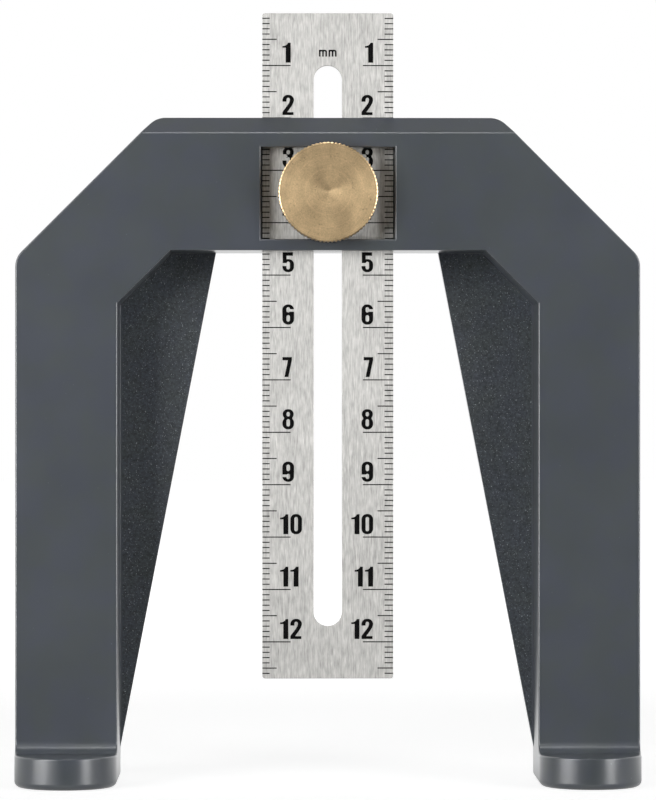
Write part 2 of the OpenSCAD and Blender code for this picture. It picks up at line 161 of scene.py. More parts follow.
class Shader:
    """A node tree that is built from expressions."""

    def __init__(self, name: str, owner: bpy.types.ID | None = None) -> None:
        """Starts an empty tree.

        Args:
            name: name of the new material.
            owner: a world whose tree is built in place of a material's.
        """
        self.owner = owner or bpy.data.materials.new(name)
        self.owner.use_nodes = True
        self.tree = self.owner.node_tree
        self.tree.nodes.clear()

    def node(
        self,
        kind: str,
        settings: dict[str, object] | None = None,
        sockets: dict[str | int, object] | None = None,
        output: str | int = 0,
    ) -> Value:
        """Adds a node.

        Args:
            kind: the node's type, such as ShaderNodeTexNoise.
            settings: its properties, set first.
            sockets: values or links of its inputs.
            output: the output to return.

        Returns:
            That output, or the first input of a node that has no outputs.
        """
        node = self.tree.nodes.new(kind)
        for key, value in (settings or {}).items():
            setattr(node, key, value)
        for key, value in (sockets or {}).items():
            if isinstance(value, Value):
                self.tree.links.new(value.socket, node.inputs[key])
            else:
                node.inputs[key].default_value = value
        return Value(self, node.outputs[output] if node.outputs else node.inputs[0])

    def math(self, operation: str, *values: Value | float) -> Value:
        """A Math node on the given values."""
        return self.node("ShaderNodeMath", {"operation": operation}, dict(enumerate(values)))

    def vector(self, operation: str, *values: object, output: str = "Vector") -> Value:
        """A Vector Math node on the given values."""
        settings = {"operation": operation}
        return self.node("ShaderNodeVectorMath", settings, dict(enumerate(values)), output)

    def scaled(self, vector: object, factor: Value | float) -> Value:
        """A vector times a number."""
        sockets = {0: vector, "Scale": factor}
        return self.node("ShaderNodeVectorMath", {"operation": "SCALE"}, sockets)

    def joined(self, x: Value, z: Value | float = 0.0) -> Value:
        """A vector with the given X and Z."""
        return self.node("ShaderNodeCombineXYZ", None, {"X": x, "Z": z})

    def split(self, vector: Value) -> tuple[Value, Value, Value]:
        """The three parts of a vector."""
        x = self.node("ShaderNodeSeparateXYZ", None, {0: vector})
        return x, x.out("Y"), x.out("Z")

    def blend(self, factor: Value | float, low: object, high: object) -> Value:
        """A mix of two colours."""
        return self.node("ShaderNodeMix", {"data_type": "RGBA"}, {0: factor, 6: low, 7: high}, 2)

    def place(self) -> Value:
        """The point on the piece."""
        return self.node("ShaderNodeTexCoord", output="Object")

    def facing(self) -> Value:
        """The direction that the surface faces, in the piece's own axes."""
        return self.node("ShaderNodeTexCoord", output="Normal")

    def noise(self, vector: Value, grain: Grain) -> Value:
        """Reads a noise pattern.

        Args:
            vector: where it is read.
            grain: the pattern.

        Returns:
            Its level, from 0 to 1.
        """
        if grain.stretch:
            vector = self.vector("MULTIPLY", vector, grain.stretch)
        sockets = {
            "Vector": vector,
            "Scale": grain.scale,
            "Detail": grain.detail,
            "Roughness": grain.rough,
        }
        level = self.node("ShaderNodeTexNoise", None, sockets, "Fac")
        return self.fit(level, grain.rise) if grain.rise else level

    def fit(self, value: Value, span: Range, low: float = 0.0, high: float = 1.0) -> Value:
        """Stretches a value from one range to another and holds it inside.

        Args:
            value: the value.
            span: the range that it comes from.
            low: what the start of that range becomes.
            high: what its end becomes.

        Returns:
            The stretched value.
        """
        start, end = span
        sockets = {0: value, 1: start, 2: end, 3: low, 4: high}
        return self.node("ShaderNodeMapRange", None, sockets)

    def lit(self, *kinds: Lens) -> Value:
        """1 for the named kinds of ray and 0 for others."""
        path = self.node("ShaderNodeLightPath")
        total = path.out(kinds[0].value)
        for kind in kinds[1:]:
            total = total.math("MAXIMUM", path.out(kind.value))
        return total

    def bump(self, height: Value, strength: float, depth: float) -> Value:
        """A normal that follows a height.

        Args:
            height: the height, from 0 to 1.
            strength: how much of it shows.
            depth: what a height of 1 stands for.

        Returns:
            The normal.
        """
        sockets = {"Strength": strength, "Distance": depth, "Height": height}
        return self.node("ShaderNodeBump", None, sockets)

    def principled(self, sockets: dict[str | int, object]) -> Value:
        """A Principled shader with the given inputs."""
        return self.node("ShaderNodeBsdfPrincipled", None, sockets)

    def leaning(self, lean: Value, sockets: dict[str | int, object]) -> Value:
        """Metal whose normal leans by a vector in the piece's own axes.

        Args:
            lean: the vector that is added to the normal.
            sockets: the other inputs of the Principled shader.

        Returns:
            The shader.
        """
        spaces = {"vector_type": "VECTOR", "convert_from": "OBJECT", "convert_to": "WORLD"}
        world = self.node("ShaderNodeVectorTransform", spaces, {0: lean})
        face = self.node("ShaderNodeNewGeometry", None, None, "Normal")
        normal = self.vector("NORMALIZE", self.vector("ADD", face, world))
        return self.principled({"Metallic": 1.0, "Normal": normal, **sockets})

    def mixed(self, first: Value, second: Value, share: float = 0.5) -> Value:
        """Two shaders in one.

        Args:
            first: the first shader.
            second: the second shader.
            share: how much of the mix is the second.

        Returns:
            The mix.
        """
        return self.node("ShaderNodeMixShader", None, {0: share, 1: first, 2: second})

    def surface(self, shader: Value) -> bpy.types.ID:
        """Links the last shader to the output and returns what owns the tree."""
        is_world = isinstance(self.owner, bpy.types.World)
        kind = "ShaderNodeOutputWorld" if is_world else "ShaderNodeOutputMaterial"
        self.node(kind, None, {"Surface": shader})
        return self.owner


# Finishes


@dataclass(frozen=True)
class MouldedPlastic:
    """Satin grey moulding, with a spark-eroded grain on the front of the webs, whose darker grey is
    partly their own finish and partly painted shade of the recess.
    """

    colour: Colour = (0.0705, 0.0805, 0.094, 1.0)
    # Darker grey of the webs: partly their grainier finish, partly painted shade of the recess
    # between the legs and under the crossbar
    web_colour_and_shade: Colour = (0.046, 0.055, 0.065, 1.0)
    spark_colour: Triple = (0.52, 0.55, 0.56)
    cool: Triple = (0.99, 0.99, 1.06)
    warm: Triple = (1.0, 1.015, 0.95)
    shade: float = 0.86
    roughness: float = 0.30
    web_roughness: float = 0.50
    cloud_roughness: float = 0.10
    ior: float = 1.55
    coat: float = 0.8
    coat_roughness: float = 0.28
    # Y of the steepest direction that still counts as facing forward
    forward: float = -0.9
    # Where the front of the webs lies, and how near to its plane a point has to be
    web_y: float = 0.0120
    web_half_width: float = 0.0396
    same_plane: float = 0.0003
    clouds: Grain = Grain(70.0, 3.0, weight=0.28)
    scuffs: Grain = Grain(900.0, 4.0, 0.7, (0.66, 0.80), 0.16)
    dust: Grain = Grain(2100.0, 1.0, rise=(0.76, 0.82), weight=1.1)
    drift: Grain = Grain(160.0, 3.0, 0.6, (0.38, 0.62))
    web_grain: Grain = Grain(2300.0, 3.0, 0.6, weight=2.6)
    web_sparks: Grain = Grain(4600.0, 1.0, rise=(0.675, 0.80))
    fine_grain: Grain = Grain(3400.0)
    fine_height: float = 0.06
    bump_strength: float = 0.35
    bump_depth: float = 0.00012

    def material(self) -> bpy.types.Material:
        """Builds the material."""
        tree = Shader("satin_grey_moulding")
        place = tree.place()
        web = self._web(tree, place)
        clouds = tree.noise(place, self.clouds)
        scuffs = tree.noise(place, self.scuffs)
        dust = tree.noise(place, self.dust)
        coarse = tree.noise(place, self.web_grain)
        fine = tree.noise(place, self.fine_grain)
        spark = web * tree.noise(place, self.web_sparks)
        # The webs take the darker grey, which is partly their finish and partly painted shade of
        # the recess
        base = tree.blend(web, self.colour, self.web_colour_and_shade)
        tone = tree.vector("MULTIPLY", base, self._tint(tree, place))
        shade = (
            self.shade
            + self.clouds.weight * clouds
            + self.web_grain.weight * web * (coarse - MIDDLE)
            + self.scuffs.weight * scuffs
            + self.dust.weight * dust
        )
        sparkle = tree.scaled(self.spark_colour, spark)
        roughness = (
            self.roughness
            + web * (self.web_roughness - self.roughness)
            + self.cloud_roughness * (clouds - MIDDLE)
        )
        height = self.fine_height * fine + web * coarse
        sockets = {
            "Base Color": tree.vector("ADD", tree.scaled(tone, shade), sparkle),
            "Roughness": roughness,
            "IOR": self.ior,
            "Coat Weight": self.coat * (1 - web),
            "Coat Roughness": self.coat_roughness,
            "Normal": tree.bump(height, self.bump_strength, self.bump_depth),
        }
        return tree.surface(tree.principled(sockets))

    def _web(self, tree: Shader, place: Value) -> Value:
        """1 on the front of the webs and 0 elsewhere."""
        x, y, _ = tree.split(place)
        forward = tree.split(tree.facing())[1].math("LESS_THAN", self.forward)
        in_plane = forward * y.math("COMPARE", self.web_y, self.same_plane)
        return in_plane * x.math("ABSOLUTE").math("LESS_THAN", self.web_half_width)

    def _tint(self, tree: Shader, place: Value) -> Value:
        """The slow change of the grey between cool and warm."""
        drift = tree.noise(place, self.drift)
        sockets = {0: drift, 4: self.cool, 5: self.warm}
        return tree.node("ShaderNodeMix", {"data_type": "VECTOR"}, sockets, 1)


@dataclass(frozen=True)
class BrushedSteel:
    """Stainless steel brushed along the rule, whose scratches throw the light out to both sides."""

    colour: Triple = (0.465, 0.459, 0.443)
    shade: float = -0.02
    roughness: float = 0.46
    mottle_roughness: float = 0.12
    streaks: Grain = Grain(1.0, 3.0, 0.65, weight=1.20, stretch=(5200.0, 5200.0, 420.0))
    mottle: Grain = Grain(weight=0.62, stretch=(1500.0, 1500.0, 500.0))
    clouds: Grain = Grain(110.0, weight=0.22)
    # Lean of the scratches to each side, how far it varies, and the share with no lean
    lean: float = 0.33
    play: float = 0.10
    straight: float = 0.66

    def material(self) -> bpy.types.Material:
        """Builds the material."""
        tree = Shader("brushed_rule_steel")
        place = tree.place()
        streak = tree.noise(place, self.streaks)
        mottle = tree.noise(place, self.mottle)
        cloud = tree.noise(place, self.clouds)
        shade = (
            self.shade
            + self.streaks.weight * streak
            + self.mottle.weight * mottle
            + self.clouds.weight * cloud
        )
        sockets = {
            "Base Color": tree.scaled(self.colour, shade),
            "Roughness": self.roughness + self.mottle_roughness * (mottle - MIDDLE),
        }
        wobble = self.play * (streak - MIDDLE)
        left, middle, right = (
            tree.leaning(tree.joined(wobble + lean), sockets)
            for lean in (-self.lean, 0.0, self.lean)
        )
        return tree.surface(tree.mixed(tree.mixed(left, right), middle, self.straight))


@dataclass(frozen=True)
class ScaleFilling:
    """Black filling of the etched lines and numbers."""

    colour: Colour = (0.004, 0.004, 0.004, 1.0)
    worn: Colour = (0.016, 0.015, 0.015, 1.0)
    roughness: float = 0.48
    worn_roughness: float = 0.2
    ior: float = 1.14
    specks: Grain = Grain(2600.0, 3.0, 0.6, (0.52, 0.75))

    def material(self) -> bpy.types.Material:
        """Builds the material."""
        tree = Shader("black_scale_filling")
        speck = tree.noise(tree.place(), self.specks)
        sockets = {
            "Base Color": tree.blend(speck, self.colour, self.worn),
            "Roughness": self.roughness + self.worn_roughness * speck,
            "IOR": self.ior,
        }
        return tree.surface(tree.principled(sockets))


@dataclass(frozen=True)
class TurnedBrass:
    """Brass off a lathe: the steep sides of its fine grooves lean towards the axis."""

    name: str
    colour: Triple = (0.575, 0.420, 0.238)
    roughness: float = 0.34
    haze: float = 0.10
    edge_roughness: float = 0.32
    smudge_roughness: float = 0.14
    shade: float = -0.05
    rings: Grain = Grain(5200.0, 3.0, 0.6, weight=0.60)
    broad_rings: Grain = Grain(1300.0, weight=0.30)
    smudges: Grain = Grain(260.0, 4.0, 0.6, weight=0.72)
    grit: Grain = Grain(4200.0, weight=0.58)
    sparks: Grain = Grain(2300.0, rise=(0.70, 0.78), weight=0.30)
    pits: Grain = Grain(1700.0, rise=(0.68, 0.76), weight=-0.40)
    axis_z: float = 0.1125
    least_radius: float = 0.0001
    # How squarely a face looks along the axis where the grooves come in
    flat_ends: Range = (0.93, 0.985)
    # Lean of the grooves to the axis, how far it varies, and the share with no lean
    lean: float = 0.40
    play: float = 0.16
    straight: float = 0.945

    def material(self) -> bpy.types.Material:
        """Builds the material."""
        tree = Shader(self.name)
        place = tree.place()
        x, _, z = tree.split(place)
        height = z - self.axis_z
        radius = (x * x + height * height).math("SQRT").math("MAXIMUM", self.least_radius)
        outward = tree.joined(radius)
        ring = tree.noise(outward, self.rings)
        smudge = tree.noise(place, self.smudges)
        flat = tree.fit(tree.split(tree.facing())[1].math("ABSOLUTE"), self.flat_ends)
        shade = (
            self.rings.weight * ring
            + self.broad_rings.weight * tree.noise(outward, self.broad_rings)
            + self.smudges.weight * smudge
            + self.grit.weight * tree.noise(place, self.grit)
            + self.shade
            + self.sparks.weight * tree.noise(place, self.sparks)
            + self.pits.weight * tree.noise(place, self.pits)
        )
        colour = tree.scaled(self.colour, shade)
        wobble = self.play * (ring - MIDDLE)
        lobes = []
        for lean, haze in ((-self.lean, 0.0), (0.0, self.haze)):
            reach = flat * (wobble + lean) / radius
            roughness = (
                self.edge_roughness
                + flat * (self.roughness + haze - self.edge_roughness)
                + self.smudge_roughness * (smudge - MIDDLE)
            )
            sockets = {"Base Color": colour, "Roughness": roughness}
            lobes.append(tree.leaning(tree.joined(x * reach, height * reach), sockets))
        return tree.surface(tree.mixed(*lobes, self.straight))


@dataclass(frozen=True)
class PlatedSteel:
    """Nickel-plated steel with faint rubbed scratches."""

    name: str
    colour: Triple = (0.56, 0.565, 0.58)
    roughness: float = 0.24
    smudge_roughness: float = 0.25
    shade: float = 0.86
    scratches: Grain = Grain(1.0, 3.0, 0.6, weight=0.16, stretch=(420.0, 5200.0, 900.0))
    smudges: Grain = Grain(330.0, 4.0, 0.6, weight=0.14)
    bump_strength: float = 0.12
    bump_depth: float = 0.00003

    def material(self) -> bpy.types.Material:
        """Builds the material."""
        tree = Shader(self.name)
        place = tree.place()
        rubbed = tree.noise(place, self.scratches)
        smudge = tree.noise(place, self.smudges)
        shade = self.shade + self.scratches.weight * rubbed + self.smudges.weight * smudge
        sockets = {
            "Base Color": tree.scaled(self.colour, shade),
            "Metallic": 1.0,
            "Roughness": self.roughness + self.smudge_roughness * (smudge - MIDDLE),
            "Normal": tree.bump(rubbed, self.bump_strength, self.bump_depth),
        }
        return tree.surface(tree.principled(sockets))


# Shaping


class Bench:
    """The hand tools that every piece is shaped with."""

    MERGE_DISTANCE: float = 1e-6
    FLAT_ANGLE: float = 0.3
    FACE_WEIGHT: int = 50

    @staticmethod
    def clear() -> None:
        """Deselects everything."""
        for piece in bpy.context.selected_objects:
            piece.select_set(False)

    @staticmethod
    def alone(piece: bpy.types.Object) -> None:
        """Selects one piece and makes it active."""
        Bench.clear()
        piece.select_set(True)
        bpy.context.view_layer.objects.active = piece

    @staticmethod
    @contextmanager
    def editing(piece: bpy.types.Object, mode: str) -> Iterator[None]:
        """Edit mode with nothing selected.

        Args:
            piece: the piece at work.
            mode: VERT, EDGE or FACE.
        """
        Bench.alone(piece)
        bpy.ops.object.mode_set(mode="EDIT")
        bpy.ops.mesh.select_mode(type=mode)
        bpy.ops.mesh.select_all(action="DESELECT")
        yield
        bpy.ops.object.mode_set(mode="OBJECT")

    @staticmethod
    def pick_points(piece: bpy.types.Object, test: Callable[[Vector], bool]) -> None:
        """Selects, in edit mode, the points that pass a test of their place, and no others.

        Args:
            piece: the piece at work.
            test: the test.
        """
        mesh = bmesh.from_edit_mesh(piece.data)
        for point in mesh.verts:
            point.select_set(test(point.co))
        mesh.select_flush_mode()
        bmesh.update_edit_mesh(piece.data)

    @staticmethod
    def pick_edges(piece: bpy.types.Object, test: Callable[[bmesh.types.BMEdge], bool]) -> None:
        """Selects, in edit mode, the edges that pass a test, and no others.

        Args:
            piece: the piece at work.
            test: the test.
        """
        mesh = bmesh.from_edit_mesh(piece.data)
        for edge in mesh.edges:
            edge.select_set(test(edge))
        mesh.select_flush_mode()
        bmesh.update_edit_mesh(piece.data)

    @staticmethod
    def modify(piece: bpy.types.Object, kind: str, **settings: object) -> None:
        """Adds a modifier and applies it.

        Args:
            piece: the piece at work.
            kind: the modifier's type.
            settings: its properties.
        """
        Bench.alone(piece)
        modifier = piece.modifiers.new(kind.lower(), kind)
        for key, value in settings.items():
            setattr(modifier, key, value)
        bpy.ops.object.modifier_apply(modifier=modifier.name)

    @staticmethod
    def settle(piece: bpy.types.Object) -> None:
        """Moves a piece's place and turn into its mesh."""
        Bench.alone(piece)
        bpy.ops.object.transform_apply(location=True, rotation=True, scale=True)

    @staticmethod
    def smooth(piece: bpy.types.Object, angle: float) -> None:
        """Smooth shading up to an angle, led by the larger faces.

        Args:
            piece: the piece at work.
            angle: the angle between two faces above which their edge stays sharp.
        """
        Bench.alone(piece)
        bpy.ops.object.shade_smooth_by_angle(angle=math.radians(angle))
        weight = Bench.FACE_WEIGHT
        Bench.modify(piece, "WEIGHTED_NORMAL", mode="FACE_AREA", weight=weight, keep_sharp=True)

    @staticmethod
    def turned(
        name: str,
        centre: tuple[float, float],
        stations: list[tuple[float, float]],
        segments: int,
        ring: bool = False,
    ) -> bpy.types.Object:
        """Turns a piece about an axis along Y, as on a lathe.

        Args:
            name: the piece's name.
            centre: X and Z of the axis.
            stations: (y, radius) from one end to the other, all radii above 0.
            segments: sides of the round.
            ring: the last station joins the first, for a piece with a bore.

        Returns:
            The piece, closed.
        """
        x, z = centre
        y, radius = stations[0]
        Bench.clear()
        bpy.ops.mesh.primitive_circle_add(
            vertices=segments, radius=radius, location=(x, y, z), rotation=(math.pi / 2, 0, 0)
        )
        piece = bpy.context.object
        piece.name = piece.data.name = name
        Bench.settle(piece)
        with Bench.editing(piece, "EDGE"):
            bpy.ops.mesh.select_all(action="SELECT")
            for (y0, r0), (y1, r1) in zip(stations, stations[1:]):
                bpy.ops.mesh.extrude_edges_move(TRANSFORM_OT_translate={"value": (0, y1 - y0, 0)})
                bpy.ops.transform.resize(value=(r1 / r0, 1, r1 / r0), center_override=(x, y1, z))
            Bench.pick_edges(piece, lambda edge: edge.is_boundary)
            if ring:
                bpy.ops.mesh.bridge_edge_loops()
            else:
                bpy.ops.mesh.fill_holes(sides=0)
            bpy.ops.mesh.select_all(action="SELECT")
            bpy.ops.mesh.normals_make_consistent(inside=False)
        return piece

    @staticmethod
    def copied(node: str, name: str, cuts: tuple[float, ...]) -> bpy.types.Object:
        """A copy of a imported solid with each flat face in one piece, or in two if it has a hole.

        Args:
            node: the solid's node.
            name: the new piece's name.
            cuts: X of the planes that divide the faces with a hole in them.

        Returns:
            The piece.
        """
        piece = bpy.data.objects.new(name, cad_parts[node].data.copy())
        piece.data.name = name
        piece.data.materials.clear()
        bpy.context.scene.collection.objects.link(piece)
        Bench.alone(piece)
        bpy.ops.mesh.customdata_custom_splitnormals_clear()
        with Bench.editing(piece, "VERT"):
            bpy.ops.mesh.select_all(action="SELECT")
            bpy.ops.mesh.remove_doubles(threshold=Bench.MERGE_DISTANCE)
            bpy.ops.mesh.mark_sharp(clear=True)
            for x in cuts:
                bpy.ops.mesh.select_all(action="SELECT")
                bpy.ops.mesh.bisect(plane_co=(x, 0.0, 0.0), plane_no=(1.0, 0.0, 0.0))
                bpy.ops.mesh.mark_seam(clear=False)
            bpy.ops.mesh.select_all(action="SELECT")
            bpy.ops.mesh.dissolve_limited(
                angle_limit=math.radians(Bench.FLAT_ANGLE),
                use_dissolve_boundaries=False,
                delimit={"SEAM"},
            )
        return piece

    @staticmethod
    def dress(piece: bpy.types.Object, material: bpy.types.Material) -> None:
        """Gives a piece its one material."""
        piece.data.materials.clear()
        piece.data.materials.append(material)
        for polygon in piece.data.polygons:
            polygon.material_index = 0


def hand_over(piece: bpy.types.Object, body: Body, node: str) -> None:
    """Puts a finished piece on its body and reports it.

    Args:
        piece: the piece.
        body: the body that it rides on.
        node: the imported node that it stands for.
    """
    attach(piece, body.value)
    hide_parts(node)
    LOG.info("%s: %d faces on %s", piece.name, len(piece.data.polygons), body.value)


# Sub-assemblies


@dataclass
class SoftenedPiece:
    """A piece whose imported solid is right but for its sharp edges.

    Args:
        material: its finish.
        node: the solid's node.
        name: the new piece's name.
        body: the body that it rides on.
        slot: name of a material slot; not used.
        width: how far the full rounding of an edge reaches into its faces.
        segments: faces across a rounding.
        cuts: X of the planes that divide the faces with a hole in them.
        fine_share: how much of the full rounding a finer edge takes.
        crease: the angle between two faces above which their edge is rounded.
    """

    material: bpy.types.Material
    node: str
    name: str
    body: Body
    slot: str
    width: float
    segments: int
    cuts: tuple[float, ...] = ()
    fine_share: float = 0.25
    crease: float = 35.0

    def build(self) -> None:
        """Builds, dresses and hands over the piece."""
        piece = Bench.copied(self.node, self.name, self.cuts)
        with Bench.editing(piece, "EDGE"):
            for share in (1.0, self.fine_share):
                Bench.pick_edges(
                    piece,
                    lambda edge: edge.calc_face_angle(0.0) > math.radians(self.crease)
                    and self.share([point.co for point in edge.verts]) == share,
                )
                bpy.ops.transform.edge_bevelweight(value=share)
        Bench.modify(
            piece,
            "BEVEL",
            width=self.width,
            segments=self.segments,
            limit_method="WEIGHT",
            use_clamp_overlap=False,
            loop_slide=True,
            miter_outer="MITER_SHARP",
        )
        Bench.smooth(piece, self.crease)
        Bench.dress(piece, self.material)
        hand_over(piece, self.body, self.node)

    def share(self, ends: list[Vector]) -> float:
        """How much of the full rounding an edge between two points takes."""
        return 1.0


@dataclass
class MouldedArch(SoftenedPiece):
    """The moulding, whose hollows have less room for a rounding than its outside."""

    node: str = "frame"
    name: str = "moulded_arch"
    body: Body = Body.STAND
    slot: str = "frame_plastic"
    width: float = 0.0003
    segments: int = 4
    # Places that tell the edges of the outside from those of the hollows
    front: float = -0.0020
    channel_front: float = 0.0005
    channel_side: float = 0.0136
    rib_ends: float = 0.0130
    back: float = 0.0141
    foot_top: float = 0.0090

    def share(self, ends: list[Vector]) -> float:
        """Full on the front, back and feet, none on the rib ends and in the rule's channel."""
        if (
            all(end.y < self.front for end in ends)
            or all(end.y > self.back for end in ends)
            or all(end.z < self.foot_top for end in ends)
        ):
            return 1.0
        if all(self.rib_ends < end.y < self.back for end in ends) or all(
            end.y > self.channel_front and abs(end.x) < self.channel_side for end in ends
        ):
            return 0.0
        return self.fine_share


@dataclass
class SteelRule(SoftenedPiece):
    """The slotted rule without its markings."""

    node: str = "rule"
    name: str = "steel_rule"
    body: Body = Body.RULE
    slot: str = "rule_steel"
    width: float = 0.00008
    segments: int = 2
    cuts: tuple[float, ...] = (0.0,)


@dataclass
class FlatWasher(SoftenedPiece):
    """The washer between the thumb screw's collar and the rule."""

    node: str = "clamp_washer"
    name: str = "flat_washer"
    body: Body = Body.CLAMP
    slot: str = "washer_steel"
    width: float = 0.0001
    segments: int = 2
    cuts: tuple[float, ...] = (0.0,)


@dataclass
class MagneticFeet:
    """A disc magnet in a steel cup under each leg."""

    cup_material: bpy.types.Material
    magnet_material: bpy.types.Material
    leg_x: float
    width: float = 0.0002
    cup_segments: int = 3
    magnet_segments: int = 2

    def build(self) -> None:
        """Builds the two cups and the two magnets."""
        legs = {"left": -self.leg_x, "right": self.leg_x}
        for side, x in legs.items():
            SoftenedPiece(
                material=self.cup_material,
                node=f"{side}_magnet_cup",
                name=f"{side}_cup",
                body=Body.STAND,
                slot="plated_steel",
                width=self.width,
                segments=self.cup_segments,
                cuts=(x,),
            ).build()
        for side in legs:
            SoftenedPiece(
                material=self.magnet_material,
                node=f"{side}_magnet",
                name=f"{side}_disc_magnet",
                body=Body.STAND,
                slot="magnet_plating",
                width=self.width,
                segments=self.magnet_segments,
            ).build()


@dataclass
class ThumbScrew:
    """Knurled head, collar and threaded shank, turned from one bar of brass."""

    material: bpy.types.Material
    axis_z: float = 0.1125
    head_front: float = -0.0073
    head_back: float = -0.0028
    head_radius: float = 0.0095
    # Ring that divides the flat face
    face_ring: float = 0.00475
    teeth: int = 76
    lines_a_tooth: int = 4
    # Depth of the knurl's valleys, and the share of it that a tooth's flanks have
    knurl: float = 0.00022
    flank_share: float = 0.5
    # Ease of the head's back edge
    bevel: float = 0.00045
    bevel_share: float = 0.4
    # Ring that leans back round the flat face, and the rounded corner outside it
    land: float = 0.0002
    land_tilt: float = 24.0
    corner: float = 0.0002
    edge_steps: int = 5
    # How close to a ring's radius a point counts as lying on it
    near: float = 0.000004
    # Chamfer of the collar, and of the head behind its eased back edge
    edge: float = 0.00008
    # Turning mark at the middle of the face
    pip_radius: float = 0.00022
    pip_floor: float = 0.00011
    pip_depth: float = 0.00003
    collar_radius: float = 0.0045
    collar_end: float = 0.0002
    core_radius: float = 0.00206
    crest_radius: float = 0.00242
    pitch: float = 0.0008
    root_overlap: float = 0.00006
    # Widths of the thread's ridge, as shares of its pitch
    root_width: float = 0.72
    crest_width: float = 0.16
    thread_steps: int = 32
    tip: float = 0.01015
    tip_chamfer: float = 0.0006
    crease: float = 20.0

    def build(self) -> None:
        """Builds, dresses and hands over the screw."""
        screw = self._head_and_core()
        self._cut_knurl(screw)
        thread = self._thread()
        Bench.alone(screw)
        thread.select_set(True)
        bpy.ops.object.join()
        Bench.smooth(screw, self.crease)
        Bench.dress(screw, self.material)
        hand_over(screw, Body.SCREW, "thumb_screw")

    def _head_and_core(self) -> bpy.types.Object:
        """Turns the head, collar and core."""
        front, back, radius = self.head_front, self.head_back, self.head_radius
        bevel, edge = self.bevel, self.edge
        stations = [
            (front + self.pip_depth, self.pip_floor),
            (front, self.pip_radius),
            (front, self.face_ring),
            *((front + depth, ring) for depth, ring in self._rounding()),
            (back - bevel, radius),
            (back - edge * self.bevel_share, radius - bevel),
            (back, radius - bevel - edge),
            (back, self.collar_radius),
            (self.collar_end - edge, self.collar_radius),
            (self.collar_end, self.collar_radius - edge),
            (self.collar_end, self.core_radius),
            (self.tip - self.tip_chamfer, self.core_radius),
            (self.tip, self.core_radius - self.tip_chamfer),
        ]
        sides = self.lines_a_tooth * self.teeth
        return Bench.turned("thumb_screw_turned", (0.0, self.axis_z), stations, sides)

    def _rounding(self) -> list[tuple[float, float]]:
        """Depth below the front face and radius of each ring of the head's eased front edge."""
        first = math.radians(self.land_tilt)
        drop = self.land * math.tan(first)
        rings = [(0.0, self.head_radius - self.corner * (1 - math.sin(first)) - self.land)]
        for step in range(self.edge_steps + 1):
            turn = first + (math.pi / 2 - first) * step / self.edge_steps
            depth = drop + self.corner * (math.cos(first) - math.cos(turn))
            rings.append((depth, self.head_radius - self.corner * (1 - math.sin(turn))))
        return rings

    def _cut_knurl(self, screw: bpy.types.Object) -> None:
        """Presses the straight knurl into the rim and the rounded edge in front of it."""
        step = math.tau / (self.lines_a_tooth * self.teeth)

        def out(point: Vector) -> float:
            """Distance of a point from the axis."""
            return math.hypot(point.x, point.z - self.axis_z)

        def phase(point: Vector) -> int:
            """Which of a tooth's four lines a point lies on: 0 is the tip and 2 the valley."""
            turn = math.atan2(point.z - self.axis_z, point.x)
            return round(turn / step) % self.lines_a_tooth

        with Bench.editing(screw, "VERT"):
            for depth, lines in ((self.knurl, (2,)), (self.knurl * self.flank_share, (1, 3))):
                valley = self.head_radius - depth
                for _, ring in self._rounding():
                    if ring > valley:
                        Bench.pick_points(
                            screw, lambda p: abs(out(p) - ring) < self.near and phase(p) in lines
                        )
                        bpy.ops.transform.resize(
                            value=(valley / ring, 1, valley / ring),
                            center_override=(0, 0, self.axis_z),
                        )

    def _thread(self) -> bpy.types.Object:
        """Winds the ridge of the thread, a square scaled to its section, round the core."""
        start = self.collar_end + self.pitch / 2
        turns = math.floor((self.tip - self.tip_chamfer - start) / self.pitch) - 1
        root = self.core_radius - self.root_overlap
        middle = (root + self.crest_radius) / 2
        centre = (middle, start, 0)
        Bench.clear()
        bpy.ops.mesh.primitive_circle_add(
            vertices=4, radius=math.sqrt(1 / 2), location=centre, rotation=(0, 0, math.pi / 4)
        )
        ridge = bpy.context.object
        ridge.name = ridge.data.name = "thread_ridge"
        Bench.settle(ridge)
        with Bench.editing(ridge, "VERT"):
            bpy.ops.mesh.select_all(action="SELECT")
            size = (self.crest_radius - root, self.root_width * self.pitch, 1)
            bpy.ops.transform.resize(value=size, center_override=centre)
            Bench.pick_points(ridge, lambda p: p.x > middle)
            taper = (1, self.crest_width / self.root_width, 1)
            bpy.ops.transform.resize(value=taper, center_override=centre)
        Bench.modify(
            ridge,
            "SCREW",
            axis="Y",
            screw_offset=self.pitch,
            iterations=turns,
            steps=self.thread_steps,
            render_steps=self.thread_steps,
            use_merge_vertices=False,
        )
        with Bench.editing(ridge, "EDGE"):
            Bench.pick_edges(ridge, lambda edge: edge.is_boundary)
            bpy.ops.mesh.fill_holes(sides=0)
            bpy.ops.mesh.select_all(action="SELECT")
            bpy.ops.mesh.normals_make_consistent(inside=False)
            bpy.ops.transform.translate(value=(0, 0, self.axis_z))
        Bench.settle(ridge)
        return ridge


@dataclass
class Insert:
    """Brass bush that the thumb screw runs in."""

    material: bpy.types.Material
    axis_z: float = 0.1125
    front: float = 0.00265
    back: float = 0.01065
    radius: float = 0.0035
    bore: float = 0.0025
    chamfer: float = 0.0003
    rim: float = 0.0001
    sides: int = 96
    crease: float = 28.0

    def build(self) -> None:
        """Builds, dresses and hands over the bush."""
        mouth = self.bore + self.chamfer
        stations = [
            (self.front, mouth),
            (self.front, self.radius - self.rim),
            (self.front + self.rim, self.radius),
            (self.back - self.rim, self.radius),
            (self.back, self.radius - self.rim),
            (self.back, mouth),
            (self.back - self.chamfer, self.bore),
            (self.front + self.chamfer, self.bore),
        ]
        bush = Bench.turned("threaded_bush", (0.0, self.axis_z), stations, self.sides, ring=True)
        Bench.smooth(bush, self.crease)
        Bench.dress(bush, self.material)
        hand_over(bush, Body.STAND, "threaded_insert")


